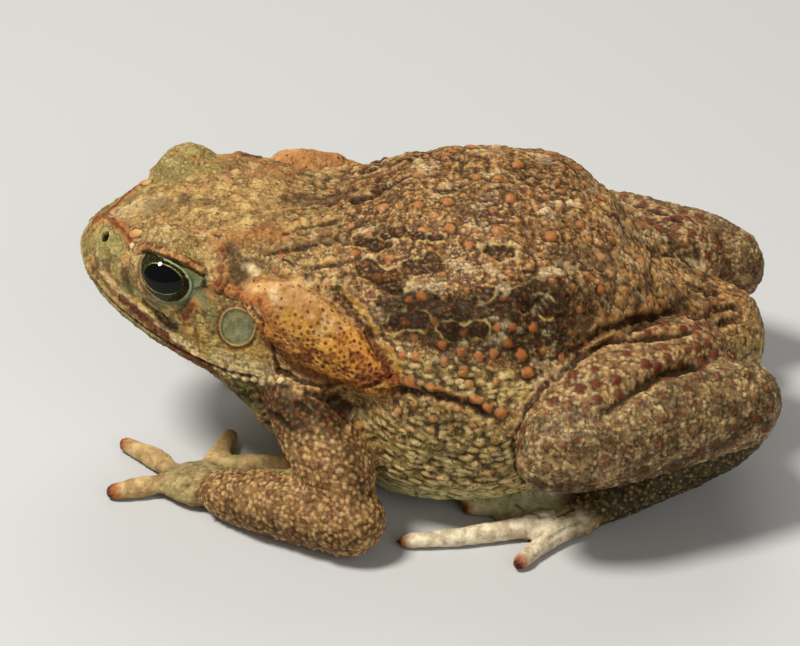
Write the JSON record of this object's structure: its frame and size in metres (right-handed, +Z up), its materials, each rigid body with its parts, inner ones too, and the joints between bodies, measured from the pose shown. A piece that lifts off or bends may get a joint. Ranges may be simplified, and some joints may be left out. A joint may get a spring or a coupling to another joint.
{
  "type": "cane toad",
  "caption": "Life-size still cane toad sitting on folded legs, with bony brow ridges, large parotoid glands and a broad warty body.",
  "frame": {"origin": "on the floor under the middle of the toad's box", "axes": "-Y the way the toad faces, +X to its left, +Z up"},
  "size_m": [0.1132, 0.1534, 0.0659],
  "materials": {
    "head_skin": "dry matt skin, tan with faint brown mottling",
    "jaw_skin": "dry matt skin, pale olive cream",
    "back_skin": "warty skin, brown with dark patches and cream flanks",
    "gland_skin": "pored gland skin, orange tan",
    "leg_skin": "granular skin, grey tan with red brown spots",
    "digit_skin": "smooth skin, cream with brown tips",
    "eardrum_skin": "thin smooth skin, grey green",
    "eye": "wet glossy, black green with a thin gold ring"
  },
  "bodies": {
    "root": {"head": "head_skin", "lower_jaw": "jaw_skin", "trunk": "back_skin", "eye_left": "eye", "eardrum_left": "eardrum_skin", "parotoid_left": "gland_skin", "upper_arm_left": "leg_skin", "forearm_left": "leg_skin", "thigh_left": "leg_skin", "shank_left": "leg_skin", "tarsus_left": "leg_skin", "hand_left": "digit_skin", "finger_inner_left": "digit_skin", "finger_second_left": "digit_skin", "finger_third_left": "digit_skin", "finger_outer_left": "digit_skin", "foot_left": "digit_skin", "toe_first_left": "digit_skin", "toe_second_left": "digit_skin", "toe_third_left": "digit_skin", "toe_fourth_left": "digit_skin", "toe_fifth_left": "digit_skin", "eye_right": "eye", "eardrum_right": "eardrum_skin", "parotoid_right": "gland_skin", "upper_arm_right": "leg_skin", "forearm_right": "leg_skin", "thigh_right": "leg_skin", "shank_right": "leg_skin", "tarsus_right": "leg_skin", "hand_right": "digit_skin", "finger_inner_right": "digit_skin", "finger_second_right": "digit_skin", "finger_third_right": "digit_skin", "finger_outer_right": "digit_skin", "foot_right": "digit_skin", "toe_first_right": "digit_skin", "toe_second_right": "digit_skin", "toe_third_right": "digit_skin", "toe_fourth_right": "digit_skin", "toe_fifth_right": "digit_skin"}
  },
  "joints": []
}
